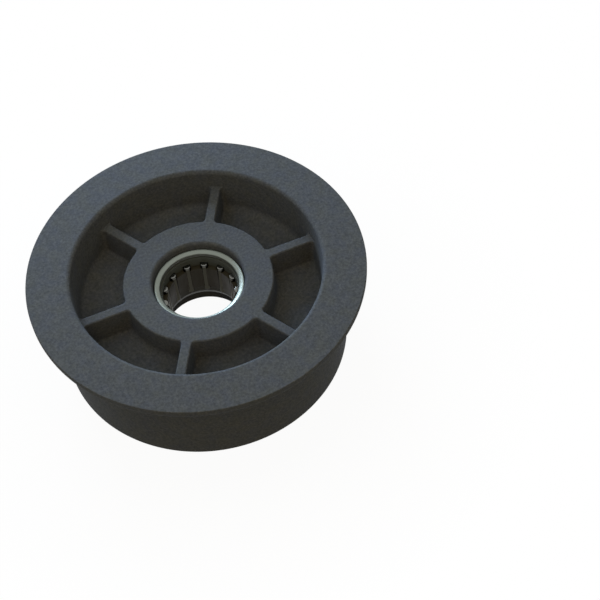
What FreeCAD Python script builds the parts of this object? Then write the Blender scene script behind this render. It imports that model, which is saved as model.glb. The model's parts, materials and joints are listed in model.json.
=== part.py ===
# Flanged belt pulley: a one-piece moulded wheel that turns on the needle roller bearing pressed into its hub.
# Millimetres. The origin is on the axis, in the plane of the wheel's lower end, and +Z points to the flange.
import FreeCAD, Part
import math
import os

# Moulded wheel, outside
wheel_height = 26.0
belt_face_dia = 70.0
flange_reach = 5.0
flange_thick = 2.5
flange_edge_break = 0.5
belt_corner_break = 0.8

# Moulded wheel, inside
rim_wall = 5.0
recess_depth = 5.0
recess_edge_break = 0.5
underside_depth = 2.0
hub_wall = 6.5
seat_reach = 0.7
web_depth = 7.5
web_thick = 3.0
rib_count = 6
rib_thick = 2.0
pocket_corner_round = 1.0
pocket_floor_break = 0.7

# Needle roller bearing
shaft_dia = 16.0
bearing_length = 16.0
bearing_depth = 1.85
roller_count = 13
roller_dia = 2.0
first_roller_deg = 8.2
raceway_clearance = 0.05
cup_wall = 0.95
cup_lip_reach = 0.65
cup_lip_dish = 0.45
cup_corner_break = 0.5
cage_shaft_clearance = 0.1
cage_cup_clearance = 0.25
cage_end_play = 0.2
cage_rim_wall = 0.7
cage_rim_height = 1.55
cage_shoulder = 1.2
pocket_side_clearance = 0.05
pocket_end_clearance = 0.1

# Radii and heights that follow from the sizes above
roller_r = roller_dia / 2
pitch_r = shaft_dia / 2 + roller_r
raceway_r = pitch_r + roller_r + raceway_clearance
bore_r = raceway_r + cup_wall
cage_inner_r = shaft_dia / 2 + cage_shaft_clearance
cage_outer_r = raceway_r - cage_cup_clearance
belt_face_r = belt_face_dia / 2
flange_r = belt_face_r + flange_reach
recess_r = belt_face_r - rim_wall
hub_r = bore_r + hub_wall
hub_top = wheel_height - recess_depth
web_top = hub_top - web_depth
web_bottom = web_top - web_thick
seat_r = bore_r - seat_reach
seat_top = hub_top - bearing_depth - bearing_length
bearing_mid = seat_top + bearing_length / 2
cage_length = bearing_length - 2 * (cup_lip_dish + cup_wall + cage_end_play)
pocket_length = cage_length - 2 * cage_rim_height
roller_length = pocket_length - 2 * pocket_end_clearance

up = FreeCAD.Vector(0, 0, 1)
origin = FreeCAD.Vector(0, 0, 0)


def polar(radius, angle, z):
    return FreeCAD.Vector(radius * math.cos(angle), radius * math.sin(angle), z)


def turned(corners):
    # A solid turned about the axis. Each corner of its section is (distance from the axis, z, width of its broken edge).
    points = [FreeCAD.Vector(r, 0, z) for r, z, edge_break in corners]
    section = []
    for index, corner in enumerate(points):
        edge_break = corners[index][2]
        if edge_break == 0:
            section.append(corner)
            continue
        for neighbour in (points[index - 1], points[(index + 1) % len(points)]):
            section.append(corner + (neighbour - corner).normalize() * edge_break)
    return Part.Face(Part.makePolygon(section + section[:1])).revolve(origin, up, 360)


def both_ends(corners):
    # The whole section of a bearing ring, from the corners of its upper half as seen from the bearing's middle
    upper = [(r, bearing_mid + z, edge_break) for r, z, edge_break in corners]
    lower = [(r, bearing_mid - z, edge_break) for r, z, edge_break in reversed(corners)]
    return upper + lower


def ring_of(shape, count):
    copies = []
    for index in range(count):
        copy = shape.copy()
        copy.rotate(origin, up, index * 360.0 / count)
        copies.append(copy)
    return copies


def pocket_outline(z, inset):
    # The space between the rib along +X and the next one in plan, kept that far inside its walls.
    # Rounds join the rib sides to the hub and to the outer wall.
    inner_r = hub_r + inset
    outer_r = recess_r - inset
    side = rib_thick / 2 + inset
    corner_round = pocket_corner_round - inset
    step = 2 * math.pi / rib_count
    quarter = math.pi / 2
    centre = side + corner_round
    hub_turn = math.asin(centre / (inner_r + corner_round))
    wall_turn = math.asin(centre / (outer_r - corner_round))
    hub_x = (inner_r + corner_round) * math.cos(hub_turn)
    wall_x = (outer_r - corner_round) * math.cos(wall_turn)
    # Halfway round each corner, as seen from the centre of its round
    hub_half = (hub_turn + 5 * quarter) / 2
    wall_half = (wall_turn - quarter) / 2

    def near(x, y):
        return FreeCAD.Vector(x, y, z)

    def far(x, y):
        # The same place beside the next rib
        return polar(math.hypot(x, y), step - math.atan2(y, x), z)

    hub_side = (hub_x, side)
    hub_middle = (hub_x + corner_round * math.cos(hub_half), centre + corner_round * math.sin(hub_half))
    wall_side = (wall_x, side)
    wall_middle = (wall_x + corner_round * math.cos(wall_half), centre + corner_round * math.sin(wall_half))
    hub_near = polar(inner_r, hub_turn, z)
    hub_far = polar(inner_r, step - hub_turn, z)
    wall_near = polar(outer_r, wall_turn, z)
    wall_far = polar(outer_r, step - wall_turn, z)
    return Part.Wire([
        Part.makeLine(near(*hub_side), near(*wall_side)),
        Part.Arc(near(*wall_side), near(*wall_middle), wall_near).toShape(),
        Part.Arc(wall_near, polar(outer_r, step / 2, z), wall_far).toShape(),
        Part.Arc(wall_far, far(*wall_middle), far(*wall_side)).toShape(),
        Part.makeLine(far(*wall_side), far(*hub_side)),
        Part.Arc(far(*hub_side), far(*hub_middle), hub_far).toShape(),
        Part.Arc(hub_far, polar(inner_r, step / 2, z), hub_near).toShape(),
        Part.Arc(hub_near, near(*hub_middle), near(*hub_side)).toShape(),
    ])


def pocket(*levels):
    # A pocket from its floor to its mouth. Each level is (z, how far its outline stays inside the pocket's walls).
    return Part.makeLoft([pocket_outline(z, inset) for z, inset in levels], True, True)


def pulley_wheel():
    # The bearing is pressed in from above, down to the seat at the lower end of the hub's bore
    flange_under = wheel_height - flange_thick
    blank = turned([
        (seat_r, 0, 0),
        (hub_r, 0, 0),
        (hub_r, underside_depth, 0),
        (recess_r, underside_depth, 0),
        (recess_r, 0, 0),
        (belt_face_r, 0, 0),
        (belt_face_r, flange_under, belt_corner_break),
        (flange_r, flange_under, 0),
        (flange_r, wheel_height, flange_edge_break),
        (recess_r, wheel_height, recess_edge_break),
        (recess_r, hub_top, 0),
        (bore_r, hub_top, 0),
        (bore_r, seat_top, 0),
        (seat_r, seat_top, 0),
    ])
    upper = pocket((web_top, pocket_floor_break), (web_top + pocket_floor_break, 0), (hub_top, 0))
    lower = pocket((web_bottom, 0), (underside_depth, 0))
    return blank.cut(ring_of(upper, rib_count) + ring_of(lower, rib_count)).removeSplitter()


def bearing_cup():
    # A drawn steel shell. Its two ends curl in as dished lips that hold the cage.
    end = bearing_length / 2
    lip_r = raceway_r - cup_lip_reach
    lip_end = end - cup_lip_dish
    return turned(both_ends([
        (raceway_r, end - cup_wall, 0),
        (lip_r, lip_end - cup_wall, 0),
        (lip_r, lip_end, 0),
        (bore_r - cup_corner_break, end, 0),
        (bore_r, end - cup_corner_break, 0),
    ]))


def roller_foot(length):
    # The lower end of the first roller's axis, for something of that length
    return polar(pitch_r, math.radians(first_roller_deg), bearing_mid - length / 2)


def needle_cage():
    # A ring with a round-sided pocket for each roller. Its thick middle keeps the rollers from falling in, and its thin
    # ends leave the inner half of the roller ends free.
    end = cage_length / 2
    rim_r = cage_outer_r - cage_rim_wall
    shoulder = roller_length / 2 - cage_shoulder
    ring = turned(both_ends([
        (cage_inner_r, shoulder, 0),
        (rim_r, shoulder, 0),
        (rim_r, end, 0),
        (cage_outer_r, end, 0),
    ]))
    roller_pocket = Part.makeCylinder(roller_r + pocket_side_clearance, pocket_length, roller_foot(pocket_length))
    return ring.cut(ring_of(roller_pocket, roller_count))


def needle_rollers():
    roller = Part.makeCylinder(roller_r, roller_length, roller_foot(roller_length))
    return ring_of(roller, roller_count)


nodes = {
    "pulley_wheel": pulley_wheel(),
    "bearing_cup": bearing_cup(),
    "needle_cage": needle_cage(),
}
for number, roller in enumerate(needle_rollers(), start=1):
    nodes["needle_roller_%02d" % number] = roller

os.makedirs("parts", exist_ok=True)
for name, shape in nodes.items():
    shape.exportStep("parts/" + name + ".step")
    print(name, "valid" if shape.isValid() else "not valid", round(shape.Volume, 1), "mm3")
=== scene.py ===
# Flanged belt pulley: moulded wheel and needle bearing, their finishes, the studio floor, light and camera
import json
import math

import bmesh
import bpy
from mathutils import Matrix, Vector


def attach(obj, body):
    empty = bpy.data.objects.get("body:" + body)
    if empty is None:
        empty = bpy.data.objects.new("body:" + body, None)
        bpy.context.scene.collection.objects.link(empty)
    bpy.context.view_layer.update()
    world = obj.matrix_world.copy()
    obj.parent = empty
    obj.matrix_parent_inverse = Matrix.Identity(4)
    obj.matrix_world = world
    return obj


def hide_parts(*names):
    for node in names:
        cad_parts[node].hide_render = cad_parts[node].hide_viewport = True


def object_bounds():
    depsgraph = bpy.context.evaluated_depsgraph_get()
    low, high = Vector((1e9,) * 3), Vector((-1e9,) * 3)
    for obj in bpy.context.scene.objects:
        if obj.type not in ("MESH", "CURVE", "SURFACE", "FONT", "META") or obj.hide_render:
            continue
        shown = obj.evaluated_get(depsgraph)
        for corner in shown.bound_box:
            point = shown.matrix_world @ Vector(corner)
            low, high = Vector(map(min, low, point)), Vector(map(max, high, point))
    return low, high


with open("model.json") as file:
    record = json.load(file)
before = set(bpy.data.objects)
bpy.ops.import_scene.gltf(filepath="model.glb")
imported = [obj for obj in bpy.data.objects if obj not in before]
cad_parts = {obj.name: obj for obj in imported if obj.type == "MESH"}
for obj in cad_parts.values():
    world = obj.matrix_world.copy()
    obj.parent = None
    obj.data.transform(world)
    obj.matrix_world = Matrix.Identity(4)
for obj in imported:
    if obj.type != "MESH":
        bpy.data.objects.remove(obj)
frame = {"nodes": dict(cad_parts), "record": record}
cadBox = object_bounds()
print("frame loaded:", len(frame["nodes"]), "nodes")

mm = 0.001


class Wire:
    # A shader socket that takes part in sums: 1 - mask * 0.3 adds its Math nodes
    def __init__(self, finish, socket):
        self.finish = finish
        self.socket = socket

    def math(self, operation, first, second=0.0):
        return self.finish.add("Math", {"operation": operation}, {0: first, 1: second})

    def __add__(self, other):
        return self.math("ADD", self, other)

    def __sub__(self, other):
        return self.math("SUBTRACT", self, other)

    def __mul__(self, other):
        return self.math("MULTIPLY", self, other)

    def __pow__(self, other):
        return self.math("POWER", self, other)

    def __abs__(self):
        return self.math("ABSOLUTE", self)

    def __radd__(self, other):
        return self.math("ADD", other, self)

    def __rsub__(self, other):
        return self.math("SUBTRACT", other, self)

    def __rmul__(self, other):
        return self.math("MULTIPLY", other, self)


class Finish:
    # One node tree, of a material or of the world
    def __init__(self, owner):
        owner.use_nodes = True
        self.owner = owner
        self.tree = owner.node_tree
        self.tree.nodes.clear()

    def add(self, kind, settings=None, sockets=None, out=(0,)):
        # Adds one node: its settings first, then the values or links of its sockets.
        # Gives the outputs that are asked for: one wire, or a list of them.
        node = self.tree.nodes.new("ShaderNode" + kind)
        for name, value in (settings or {}).items():
            setattr(node, name, value)
        for name, value in (sockets or {}).items():
            if isinstance(value, Wire):
                self.tree.links.new(value.socket, node.inputs[name])
            else:
                node.inputs[name].default_value = value
        wires = [Wire(self, node.outputs[name]) for name in out]
        return wires[0] if len(wires) == 1 else wires

    def place(self):
        return self.add("TexCoord", out=("Object",))

    def axes(self, vector):
        return self.add("SeparateXYZ", None, {0: vector}, out=("X", "Y", "Z"))

    def radius(self, vector):
        # Distance from the pulley's axis
        x, y = self.axes(vector)[:2]
        return (x * x + y * y) ** 0.5

    def height(self, vector):
        return self.axes(vector)[2]

    def grain(self, vector, size, detail=2.0, rough=0.5):
        # Smooth noise with lumps of about that size, in metres, from 0 to 1
        values = {"Vector": vector, "Scale": 1 / size, "Detail": detail, "Roughness": rough}
        return self.add("TexNoise", None, values)

    def lines(self, along, size):
        # Fine lines that follow each other along that distance
        return self.add("TexNoise", {"noise_dimensions": "1D"}, {"W": along * (1 / size), "Scale": 1.0})

    def ramp(self, value, low, high):
        return self.add("MapRange", {"clamp": True}, {"Value": value, "From Min": low, "From Max": high})

    def blend(self, share, first, second):
        # Mix node for colours: sockets 6 and 7 are its colour inputs and output 2 its colour
        return self.add("Mix", {"data_type": "RGBA"}, {0: share, 6: first, 7: second}, out=(2,))

    def bump(self, height, depth, strength=1.0):
        return self.add("Bump", None, {"Height": height, "Distance": depth, "Strength": strength})

    def surface(self, **sockets):
        values = {name.replace("_", " "): value for name, value in sockets.items()}
        shader = self.add("BsdfPrincipled", None, values)
        self.add("OutputMaterial", None, {"Surface": shader}, out=())
        return self.owner


def newFinish(name):
    return Finish(bpy.data.materials.new(name))


def rgb(red, green, blue):
    return red, green, blue, 1.0


def spread(noise, width):
    # Noise from 0 to 1 made to swing about nothing, with that width in all
    return (noise - 0.5) * width


# Nylon of the wheel: glass-filled, slate black, matt, with a fine speckle
nylon = {
    "slateBlue": rgb(0.076, 0.085, 0.104),
    "slateGrey": rgb(0.083, 0.090, 0.094),
    "dark": rgb(0.057, 0.062, 0.071),
    "pale": rgb(0.108, 0.116, 0.128),
    "mottleSize": 3.2 * mm,
    "mottleRange": (0.35, 0.65),   # levels of the noise from one slate to the other
    "speckSize": 0.6 * mm,
    "darkRange": (0.25, 0.5),
    "paleRange": (0.5, 0.75),
    "grainSize": 0.28 * mm,
    "grainDepth": 0.02 * mm,
    "grainStrength": 0.8,
    "speckRelief": 0.6,            # share of the speckle in the relief
    "rough": 0.62,
    "grainRough": 0.12,
    "gloss": 0.03,
}


def nylonFinish():
    f = newFinish("moulded_nylon")
    p = f.place()
    mottle = f.grain(p, nylon["mottleSize"], detail=3.0)
    speck = f.grain(p, nylon["speckSize"], rough=0.7)
    grain = f.grain(p, nylon["grainSize"], rough=0.6)
    base = f.blend(f.ramp(mottle, *nylon["mottleRange"]), nylon["slateBlue"], nylon["slateGrey"])
    pitted = f.blend(f.ramp(speck, *nylon["darkRange"]), nylon["dark"], base)
    relief = grain + speck * nylon["speckRelief"]
    return f.surface(
        Base_Color=f.blend(f.ramp(speck, *nylon["paleRange"]), pitted, nylon["pale"]),
        Roughness=nylon["rough"] + spread(grain, nylon["grainRough"]),
        Specular_IOR_Level=nylon["gloss"],
        Normal=f.bump(relief, nylon["grainDepth"], nylon["grainStrength"]))


# Needle bearing, in millimetres; heights are from its middle
bearing = {
    "mid": 11.15,
    "half": 8.0,
    "boreR": 11.0,
    "racewayR": 10.05,
    "lipR": 9.4,
    "lipDish": 0.45,
    "cupWall": 0.95,
    "crestR": 10.35,           # highest line of the lip
    "crestRound": 0.25,
    "cornerRound": 0.55,
    "lipRound": 0.3,
    "innerRound": 0.15,
    "rollerCount": 13,
    "rollerR": 1.0,
    "rollerLength": 9.5,
    "rollerEndRound": 0.35,
    "pitchR": 9.0,
    "firstRoller": 8.2,        # degrees from the rib along +X
}


def aboveMiddle(f, p):
    # Height above the bearing's middle, in metres
    return f.height(p) - bearing["mid"] * mm


# Bearing cup: bright drawn steel with fine lines round the axis; its inside is painted a dull grey-green,
# grease and painted shade where bare steel would mirror the white surround
cupSteel = {
    "tone": rgb(0.205, 0.225, 0.195),
    "greasyPaintedLight": rgb(0.066, 0.075, 0.072),
    "greasyPaintedLightTo": 7.55 * mm,     # how far from the bearing's middle the grease and painted shade reach
    "greasyPaintedLightFade": 0.1 * mm,
    "greasyPaintedLightSpread": 0.3 * mm,
    "rough": 0.42,
    "lineRough": 0.1,
    "cloudRough": 0.12,
    "lineSize": 0.12 * mm,
    "lineDepth": 0.004 * mm,
    "cloudSize": 2.5 * mm,
}


def cupFinish():
    f = newFinish("drawn_steel")
    c = cupSteel
    p = f.place()
    rings = f.lines(f.radius(p) + f.height(p), c["lineSize"])
    cloud = f.grain(p, c["cloudSize"], detail=3.0)
    reach = abs(aboveMiddle(f, p)) + spread(cloud, c["greasyPaintedLightSpread"])
    # Below this height the cup is painted dull and not metallic: grease and painted shade
    bare = f.ramp(reach, c["greasyPaintedLightTo"], c["greasyPaintedLightTo"] + c["greasyPaintedLightFade"])
    return f.surface(
        Base_Color=f.blend(bare, c["greasyPaintedLight"], c["tone"]),
        Metallic=bare,
        Roughness=c["rough"] + spread(rings, c["lineRough"]) + spread(cloud, c["cloudRough"]),
        Normal=f.bump(rings, c["lineDepth"]))


# Cage: black, with a film of oil; its two ends are painted lighter grey, grease and painted fill light that
# lifts the shade under the lips, less of it at the lower end
cageBlack = {
    "tone": rgb(0.038, 0.035, 0.025),
    "greasyPaintedLight": rgb(0.072, 0.081, 0.077),
    "greasyPaintedLightFrom": 3.6 * mm,    # from the bearing's middle
    "greasyPaintedLightFade": 0.4 * mm,
    "greasyPaintedLightSpread": 0.6 * mm,
    "lowerGreasyPaintedLight": 0.4,
    "rough": 0.45,
    "filmRough": 0.3,
    "gloss": 0.07,
    "grainSize": 0.4 * mm,
    "grainDepth": 0.01 * mm,
    "filmSize": 3 * mm,
}


def cageFinish():
    f = newFinish("cage_black")
    c = cageBlack
    p = f.place()
    grain = f.grain(p, c["grainSize"])
    film = f.grain(p, c["filmSize"])
    above = aboveMiddle(f, p)
    sway = spread(film, c["greasyPaintedLightSpread"])
    greasyPaintedLightTo = c["greasyPaintedLightFrom"] + c["greasyPaintedLightFade"]
    # Painted fill light: lighter grey towards the two ends, where the lips shade the cage
    upper = f.ramp(sway + above, c["greasyPaintedLightFrom"], greasyPaintedLightTo)
    lower = f.ramp(sway - above, c["greasyPaintedLightFrom"], greasyPaintedLightTo)
    return f.surface(
        Base_Color=f.blend(upper + lower * c["lowerGreasyPaintedLight"], c["tone"], c["greasyPaintedLight"]),
        Roughness=c["rough"] + spread(film, c["filmRough"]),
        Specular_IOR_Level=c["gloss"],
        Normal=f.bump(grain, c["grainDepth"]))


# Rollers: ground bearing steel with a film of oil on its roughness; the barrels are painted dark as painted
# shade, for the dark bore they mirror, and the upper ends painted bright as a painted glint
rollerSteel = {
    # Painted shade on the barrels, painted glint on the upper ends
    "barrelPaintedShade": rgb(0.034, 0.032, 0.024),
    "endPaintedGlint": rgb(0.16, 0.16, 0.145),
    "edgeTone": rgb(0.55, 0.55, 0.55),
    "glintFrom": 4.05 * mm,        # height above the bearing's middle where the painted glint on the upper ends begins
    "glintFade": 0.5 * mm,
    "glintSpread": 0.3 * mm,
    "rough": 0.2,
    "filmRough": 0.12,
    "lineRough": 0.06,
    "lineSize": 0.15 * mm,
    "lineDepth": 0.003 * mm,
    "filmSize": 2 * mm,
}


def rollerFinish():
    f = newFinish("roller_steel")
    c = rollerSteel
    p = f.place()
    lines = f.lines(f.height(p), c["lineSize"])
    film = f.grain(p, c["filmSize"])
    reach = aboveMiddle(f, p) + spread(film, c["glintSpread"])
    # Painted glint on the upper ends, painted shade on the barrels below
    endPaintedGlint = f.ramp(reach, c["glintFrom"], c["glintFrom"] + c["glintFade"])
    return f.surface(
        Base_Color=f.blend(endPaintedGlint, c["barrelPaintedShade"], c["endPaintedGlint"]),
        Metallic=1.0,
        Specular_Tint=c["edgeTone"],
        Roughness=c["rough"] + spread(film, c["filmRough"]) + spread(lines, c["lineRough"]),
        Normal=f.bump(lines, c["lineDepth"]))


finishes = {
    "moulded_nylon": nylonFinish(),
    "drawn_steel": cupFinish(),
    "cage_black": cageFinish(),
    "roller_steel": rollerFinish(),
}
slots = {subpart["node"]: subpart["material_slot"] for subpart in frame["record"]["subparts"]}
for name, node in frame["nodes"].items():
    node.data.materials.clear()
    node.data.materials.append(finishes[slots[name]])
print("finishes set:", ", ".join(finishes))


# How finely the meshes are made; lengths in millimetres
making = {
    "roundSteps": 5,
    "flareSteps": 8,
    "wheelSteps": 192,
    "bearingSteps": 128,
    "rollerSteps": 40,
    "smoothAngle": 40,         # degrees; a sharper edge stays sharp
    "near": 0.001,             # points as close as this are one
    "sliver": 0.005,           # faces thinner than this are closed up
    "overlap": 0.03,           # the rib flares cut this far into the round walls, so that they cross cleanly
    "hair": 0.01,              # the ribs end this far below the hub's face, so that no plane is shared
}


def deselectAll():
    bpy.ops.object.select_all(action="DESELECT")


def selectOnly(pieces):
    # The first piece becomes the active one
    deselectAll()
    for piece in pieces:
        piece.select_set(True)
    bpy.context.view_layer.objects.active = pieces[0]


def joinAll(pieces):
    selectOnly(pieces)
    bpy.ops.object.join()
    return pieces[0]


def copyOf(piece):
    # The copy has a mesh of its own, and is selected and active
    selectOnly([piece])
    bpy.ops.object.duplicate()
    return bpy.context.object


def pick(piece, wanted):
    # In edit mode, selects the vertices that the test wants
    mesh = bmesh.from_edit_mesh(piece.data)
    bpy.ops.mesh.select_all(action="DESELECT")
    for vertex in mesh.verts:
        vertex.select = wanted(vertex)
    mesh.select_flush_mode()
    bmesh.update_edit_mesh(piece.data)


def pickLevel(piece, z):
    # In edit mode, selects the vertices at that height, in millimetres
    pick(piece, lambda vertex: abs(vertex.co.z - z * mm) < making["near"] * mm)


def drawLoop(name, points):
    # Draws a closed line from point to point: one vertex, extruded on and on, then joined to its start
    deselectAll()
    bpy.ops.mesh.primitive_plane_add(size=1 * mm)
    piece = bpy.context.object
    piece.name = name
    bpy.ops.object.mode_set(mode="EDIT")
    bpy.ops.mesh.select_mode(type="VERT")
    bpy.ops.mesh.merge(type="CENTER")
    bpy.ops.transform.translate(value=points[0])
    for start, end in zip(points, points[1:]):
        bpy.ops.mesh.extrude_region_move(TRANSFORM_OT_translate={"value": end - start})
    ends = {0, len(points) - 1}
    pick(piece, lambda vertex: vertex.index in ends)
    bpy.ops.mesh.edge_face_add()
    return piece


def closeSkin():
    # Merges the doubles of the mesh in edit mode, turns its faces outwards and leaves edit mode
    bpy.ops.mesh.select_all(action="SELECT")
    bpy.ops.mesh.remove_doubles(threshold=making["near"] * mm)
    bpy.ops.mesh.normals_make_consistent(inside=False)
    bpy.ops.object.mode_set(mode="OBJECT")


def turn(name, corners, steps):
    # A turned piece from the corners of its section, in millimetres.
    # Each corner is (distance from the axis, z, radius of its round).
    piece = drawLoop(name, [Vector((r, 0, z)) * mm for r, z, rounding in corners])
    for r, z, rounding in corners:
        corner = Vector((r, 0, z)) * mm
        pick(piece, lambda vertex: (vertex.co - corner).length < making["near"] * mm)
        if rounding:
            bpy.ops.mesh.bevel(offset=rounding * mm, segments=making["roundSteps"], affect="VERTICES")
    bpy.ops.mesh.select_all(action="SELECT")
    bpy.ops.mesh.spin(steps=steps, angle=2 * math.pi, center=(0, 0, 0), axis=(0, 0, 1))
    closeSkin()
    return piece


def smooth(piece):
    # Smooth rounds beside flat faces that stay flat
    selectOnly([piece])
    bpy.ops.object.shade_smooth_by_angle(angle=math.radians(making["smoothAngle"]))
    weighted = piece.modifiers.new("weighted normals", "WEIGHTED_NORMAL")
    weighted.keep_sharp = True
    bpy.ops.object.modifier_apply(modifier=weighted.name)


def standFor(piece, node):
    # The piece takes the CAD node's place, body and finish
    body = next(name for name, members in frame["record"]["behaviour"]["bodies"].items() if node in members)
    piece.data.materials.clear()
    piece.data.materials.append(finishes[slots[node]])
    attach(piece, body)
    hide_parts(node)


# Moulded wheel, in millimetres
wheel = {
    "height": 26.0,
    "beltR": 35.0,
    "flangeR": 39.985,         # keeps the mesh inside the box of the CAD facets
    "flangeUnder": 23.5,
    "recessR": 29.7,           # at its mouth; the draft makes it narrower towards the web
    "recessDraft": 0.045,      # how far a wall leans for each millimetre of depth
    "hubR": 17.95,             # at its ends; the draft makes it thicker towards the web
    "hubDraft": 0.06,
    "boreR": 11.0,
    "seatR": 10.3,             # the bearing stands on this step at the lower end of the bore
    "seatTop": 3.15,
    "hubTop": 21.0,
    "webTop": 13.5,
    "webUnder": 10.5,
    "ribUnder": 2.0,
    "ribCount": 6,
    "ribThick": 2.4,           # at its free edge
    "ribEdgeRound": 0.4,
    "ribDraft": 0.025,
    "ribFlare": 1.0,           # round in plan where a rib meets the hub and the wall
    "ribFootRound": 0.8,       # stays below the flare
    "ribSink": 1.2,            # how far the ribs run into the hub, the wall and the web
    "flangeRound": 0.2,        # upper edge
    "flangeUnderRound": 1.2,
    "beltCornerRound": 1.0,
    "lowerRound": 0.4,
    "recessRound": 1.0,
    "floorRound": 2.0,         # between the web and the walls
    "edgeRound": 0.4,
    "boreRound": 0.9,
    "seatRound": 0.4,
}


def depthAt(z, mouth):
    # How deep a height lies in the wheel, from that mouth above the web or from the lower end below it
    webMiddle = (wheel["webTop"] + wheel["webUnder"]) / 2
    return mouth - z if z > webMiddle else z


def wallAt(z):
    return wheel["recessR"] - wheel["recessDraft"] * depthAt(z, wheel["height"])


def hubAt(z):
    return wheel["hubR"] + wheel["hubDraft"] * depthAt(z, wheel["hubTop"])


def quarterRound(radius):
    # How far back and how far down each step of a rounded edge lies
    steps = making["roundSteps"]
    turns = [step * math.pi / 2 / steps for step in range(steps + 1)]
    return [(radius * (1 - math.sin(a)), radius * (1 - math.cos(a))) for a in turns]


def arc(centreX, centreY, radius, start, end):
    # Points along an arc in plan
    steps = making["flareSteps"]
    turns = [start + (end - start) * step / steps for step in range(steps + 1)]
    return [(centreX + radius * math.cos(a), centreY + radius * math.sin(a)) for a in turns]


def ribOutline(grow, z, edgeZ):
    # A rib along +X in plan, thicker by that much on each side.
    # Its flared ends run into the hub and the wall.
    w = wheel
    quarter = math.pi / 2
    side = w["ribThick"] / 2 + w["ribDraft"] * abs(edgeZ - z) + grow
    flare = w["ribFlare"] - grow
    hubR = hubAt(z) + grow - making["overlap"]
    wallR = wallAt(z) - max(grow, 0) + making["overlap"]
    across = side + flare
    hubTurn = math.asin(across / (hubR + flare))
    wallTurn = math.asin(across / (wallR - flare))
    hubX = (hubR + flare) * math.cos(hubTurn)
    wallX = (wallR - flare) * math.cos(wallTurn)
    inR = hubR - w["ribSink"]
    outR = wallR + w["ribSink"]
    half = [(inR * math.cos(hubTurn), inR * math.sin(hubTurn))]
    half += arc(hubX, across, flare, hubTurn + math.pi, 3 * quarter)
    half += arc(wallX, across, flare, -quarter, wallTurn)
    half.append((outR * math.cos(wallTurn), outR * math.sin(wallTurn)))
    other = [(x, -y) for x, y in reversed(half)]
    return [Vector((x, y, z)) * mm for x, y in half + other]


def drawRing(name, points):
    ring = drawLoop(name, points)
    bpy.ops.object.mode_set(mode="OBJECT")
    return ring


def buildRib(name, edgeZ, floorZ):
    # One rib from its rounded free edge to its foot in the web
    w = wheel
    down = math.copysign(1, floorZ - edgeZ)
    free = edgeZ + down * making["hair"]
    foot = list(reversed(quarterRound(w["ribFootRound"])))
    levels = [(-back, free + down * deep) for back, deep in quarterRound(w["ribEdgeRound"])]
    levels += [(back, floorZ - down * deep) for back, deep in foot]
    levels.append((levels[-1][0], floorZ + down * w["ribSink"]))
    rib = joinAll([drawRing(name, ribOutline(grow, z, edgeZ)) for grow, z in levels])
    bpy.ops.object.mode_set(mode="EDIT")
    bpy.ops.mesh.select_all(action="SELECT")
    bpy.ops.mesh.bridge_edge_loops()
    for z in (levels[0][1], levels[-1][1]):
        pickLevel(rib, z)
        bpy.ops.mesh.edge_face_add()
    closeSkin()
    return rib


def ringOf(piece, count):
    # Copies the piece round the axis and joins the copies to it
    copies = [piece]
    for index in range(1, count):
        copies.append(copyOf(piece))
        angle = index * 2 * math.pi / count
        bpy.ops.transform.rotate(value=angle, orient_axis="Z", center_override=(0, 0, 0))
        bpy.ops.object.transform_apply()
    return joinAll(copies)


def buildWheel():
    w = wheel
    body = turn("pulley_wheel_moulding", [
        (w["seatR"], 0, w["seatRound"]),
        (w["hubR"], 0, w["edgeRound"]),
        (hubAt(w["webUnder"]), w["webUnder"], w["floorRound"]),
        (wallAt(w["webUnder"]), w["webUnder"], w["floorRound"]),
        (w["recessR"], 0, w["edgeRound"]),
        (w["beltR"], 0, w["lowerRound"]),
        (w["beltR"], w["flangeUnder"], w["beltCornerRound"]),
        (w["flangeR"], w["flangeUnder"], w["flangeUnderRound"]),
        (w["flangeR"], w["height"], w["flangeRound"]),
        (w["recessR"], w["height"], w["recessRound"]),
        (wallAt(w["webTop"]), w["webTop"], w["floorRound"]),
        (hubAt(w["webTop"]), w["webTop"], w["floorRound"]),
        (w["hubR"], w["hubTop"], w["edgeRound"]),
        (w["boreR"], w["hubTop"], w["boreRound"]),
        (w["boreR"], w["seatTop"], 0),
        (w["seatR"], w["seatTop"], 0),
    ], making["wheelSteps"])
    ribSets = {
        "upper ribs": (w["hubTop"], w["webTop"]),
        "lower ribs": (w["ribUnder"], w["webUnder"]),
    }
    for name, (edgeZ, floorZ) in ribSets.items():
        ribs = ringOf(buildRib(name, edgeZ, floorZ), w["ribCount"])
        joined = body.modifiers.new(name, "BOOLEAN")
        joined.operation = "UNION"
        joined.solver = "EXACT"
        joined.object = ribs
        selectOnly([body])
        bpy.ops.object.modifier_apply(modifier=name)
        bpy.data.objects.remove(ribs)
    bpy.ops.object.mode_set(mode="EDIT")
    bpy.ops.mesh.select_all(action="SELECT")
    bpy.ops.mesh.remove_doubles(threshold=making["sliver"] * mm)
    bpy.ops.mesh.dissolve_degenerate(threshold=making["sliver"] * mm)
    bpy.ops.object.mode_set(mode="OBJECT")
    smooth(body)
    standFor(body, "pulley_wheel")
    print("wheel:", len(body.data.polygons), "faces")


def buildCup():
    b = bearing
    lip = b["half"] - b["lipDish"]
    upper = [
        (b["racewayR"], b["half"] - b["cupWall"], b["innerRound"]),
        (b["lipR"], lip - b["cupWall"], b["innerRound"]),
        (b["lipR"], lip, b["lipRound"]),
        (b["crestR"], b["half"], b["crestRound"]),
        (b["boreR"], b["half"], b["cornerRound"]),
    ]
    corners = [(r, b["mid"] + z, rounding) for r, z, rounding in upper]
    corners += [(r, b["mid"] - z, rounding) for r, z, rounding in reversed(upper)]
    cup = turn("bearing_cup_shell", corners, making["bearingSteps"])
    smooth(cup)
    standFor(cup, "bearing_cup")
    print("cup:", len(cup.data.polygons), "faces")


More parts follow.
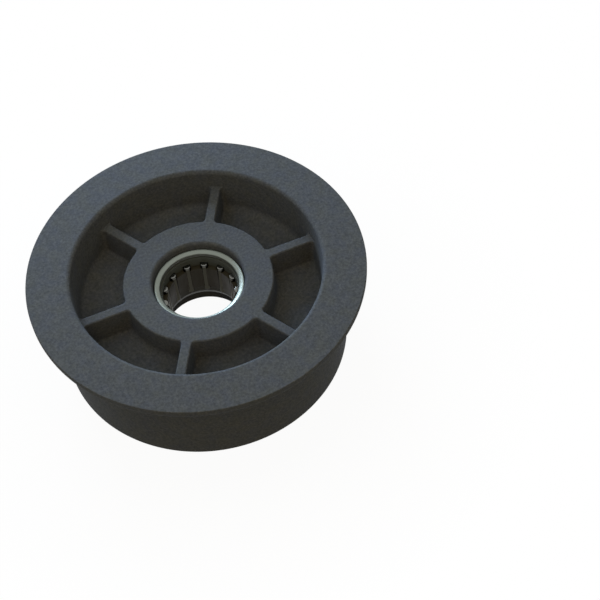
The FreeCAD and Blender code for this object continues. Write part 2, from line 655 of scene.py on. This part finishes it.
def buildRollers():
    # One roller with rounded ends, made on the axis, then copied to each place
    b = bearing
    deselectAll()
    bpy.ops.mesh.primitive_cylinder_add(
        vertices=making["rollerSteps"], radius=b["rollerR"] * mm, depth=b["rollerLength"] * mm,
        location=(0, 0, b["mid"] * mm))
    roller = bpy.context.object
    bpy.ops.object.transform_apply()
    bpy.ops.object.mode_set(mode="EDIT")
    bpy.ops.mesh.select_mode(type="VERT")
    for side in (-1, 1):
        pickLevel(roller, b["mid"] + side * b["rollerLength"] / 2)
        bpy.ops.mesh.bevel(offset=b["rollerEndRound"] * mm, segments=making["roundSteps"], affect="EDGES")
    bpy.ops.object.mode_set(mode="OBJECT")
    smooth(roller)
    for index in range(b["rollerCount"]):
        angle = math.radians(b["firstRoller"] + index * 360 / b["rollerCount"])
        copy = copyOf(roller)
        bpy.ops.transform.translate(value=Vector((math.cos(angle), math.sin(angle), 0)) * b["pitchR"] * mm)
        bpy.ops.object.transform_apply()
        copy.name = "needle_roller_steel_%02d" % (index + 1)
        standFor(copy, "needle_roller_%02d" % (index + 1))
    bpy.data.objects.remove(roller)
    print("rollers:", b["rollerCount"])


buildWheel()
buildCup()
buildRollers()


# Studio: a white floor and a white surround that light the pulley only softly
studio = {
    "white": rgb(1, 1, 1),
    "floorSize": 3.0,
    "floorTone": rgb(0.85, 0.85, 0.85),
    "floorGlow": 0.95,         # share of plain white in the floor as it is seen; the rest keeps the shadow
    "shadowFrom": 0.042,       # the floor turns plain white from this far from the axis
    "shadowTo": 0.085,
    "floorDrop": 0.02 * mm,    # the floor lies a hair below the pulley, so that they don't share a plane
    "floorBounce": rgb(0.16, 0.15, 0.12),
    "around": rgb(0.26, 0.23, 0.16),
    "overhead": rgb(0.44, 0.44, 0.38),
    "skyFrom": 0.3,            # sine of the height where the light from above sets in
    "skyTo": 0.5,
}


def seenRays(f):
    # 1 for rays that look at the studio: from the camera, off gloss or through glass
    camera, gloss, clear = f.add("LightPath", out=("Is Camera Ray", "Is Glossy Ray", "Is Transmission Ray"))
    return camera.math("MAXIMUM", camera.math("MAXIMUM", camera, gloss), clear)


def buildFloor():
    deselectAll()
    bpy.ops.mesh.primitive_plane_add(size=studio["floorSize"], location=(0, 0, -studio["floorDrop"]))
    floor = bpy.context.object
    floor.name = "studio_floor"
    f = newFinish("floor_white")
    matt = f.add("BsdfDiffuse", None, {"Color": studio["floorTone"]})
    glow = f.add("Emission", None, {"Color": studio["white"], "Strength": 1.0})
    away = f.ramp(f.radius(f.place()), studio["shadowFrom"], studio["shadowTo"])
    share = studio["floorGlow"] + away * (1 - studio["floorGlow"])
    seen = f.add("MixShader", None, {0: share, 1: matt, 2: glow})
    bounce = f.add("BsdfDiffuse", None, {"Color": studio["floorBounce"]})
    shown = f.add("MixShader", None, {0: seenRays(f), 1: bounce, 2: seen})
    f.add("OutputMaterial", None, {"Surface": shown}, out=())
    floor.data.materials.append(f.owner)


def buildSurround():
    world = bpy.data.worlds.new("studio_surround")
    bpy.context.scene.world = world
    f = Finish(world)
    rise = f.height(f.add("TexCoord", out=("Generated",)))
    dome = f.blend(f.ramp(rise, studio["skyFrom"], studio["skyTo"]), studio["around"], studio["overhead"])
    soft = f.add("Background", None, {"Color": dome, "Strength": 1.0})
    white = f.add("Background", None, {"Color": studio["white"], "Strength": 1.0})
    shown = f.add("MixShader", None, {0: seenRays(f), 1: soft, 2: white})
    f.add("OutputWorld", None, {"Surface": shown}, out=())


# Lamps: place, aim, size, power and colour of each, and whether it shows in gloss
lamps = {
    "window_behind": {"place": (0, 0.291, 0.126), "aim": (0, 0, 0.02), "size": 0.15, "power": 1.36,
                      "tone": (0.62, 0.79, 1.0), "inGloss": True},
    "softbox_left": {"place": (-0.065, 0.018, 0.165), "aim": (0, 0, 0.02), "size": 0.08, "power": 0.026,
                     "tone": (0.83, 0.91, 1.0), "inGloss": False},
    "fill_front": {"place": (-0.060, -0.250, 0.326), "aim": (0, 0, 0.02), "size": 0.2, "power": 0.25,
                   "tone": (1.0, 0.60, 0.14), "inGloss": False},
}


def buildLamps():
    for name, lamp in lamps.items():
        bpy.ops.object.light_add(type="AREA", location=lamp["place"])
        light = bpy.context.object
        light.name = name
        light.data.size = lamp["size"]
        light.data.energy = lamp["power"]
        light.data.color = lamp["tone"]
        light.visible_camera = False
        light.visible_glossy = lamp["inGloss"]
        toward = Vector(lamp["aim"]) - Vector(lamp["place"])
        light.rotation_euler = toward.to_track_quat("-Z", "Y").to_euler()


# Camera: where it stood for the photo, from the flange's top centre
cameraSet = {
    "picture": 600,            # pixels, width and height
    "focal": 1239.3,           # pixels
    "distance": 0.2913,
    "turn": -13.5,             # degrees round the axis from the front
    "rise": 51.3,              # degrees above the flange's face
    "roll": 9.92,              # degrees that the picture leans
    "flangeAt": (196.02, 266.33),
    "sensor": 36.0,
    "clipStart": 0.01,
}


def buildCamera():
    c = cameraSet
    low, high = cadBox
    target = Vector(((low.x + high.x) / 2, (low.y + high.y) / 2, high.z))
    turned = math.radians(c["turn"])
    rise = math.radians(c["rise"])
    back = Vector((math.sin(turned) * math.cos(rise), -math.cos(turned) * math.cos(rise), math.sin(rise)))
    right = Vector((math.cos(turned), math.sin(turned), 0))
    # Looks straight at the flange's centre
    square = Matrix((right, back.cross(right), back)).transposed()
    lean = Matrix.Rotation(math.radians(-c["roll"]), 3, "Z")
    # Brings the flange's centre to its pixel
    middle = c["picture"] / 2
    u, v = c["flangeAt"]
    sight = Vector(((u - middle) / c["focal"], -(v - middle) / c["focal"], -1)).normalized()
    swing = Vector((0, 0, -1)).rotation_difference(sight).to_matrix()
    bpy.ops.object.camera_add(location=target + back * c["distance"])
    camera = bpy.context.object
    camera.name = "photo_camera"
    camera.rotation_mode = "QUATERNION"
    camera.rotation_quaternion = (square @ lean @ swing.inverted()).to_quaternion()
    camera.data.sensor_width = c["sensor"]
    camera.data.lens = c["focal"] / c["picture"] * c["sensor"]
    camera.data.clip_start = c["clipStart"]
    bpy.context.scene.camera = camera


buildFloor()
buildSurround()
buildLamps()
buildCamera()
bpy.context.scene.view_settings.view_transform = "Standard"
print("studio, lamps and camera in place")
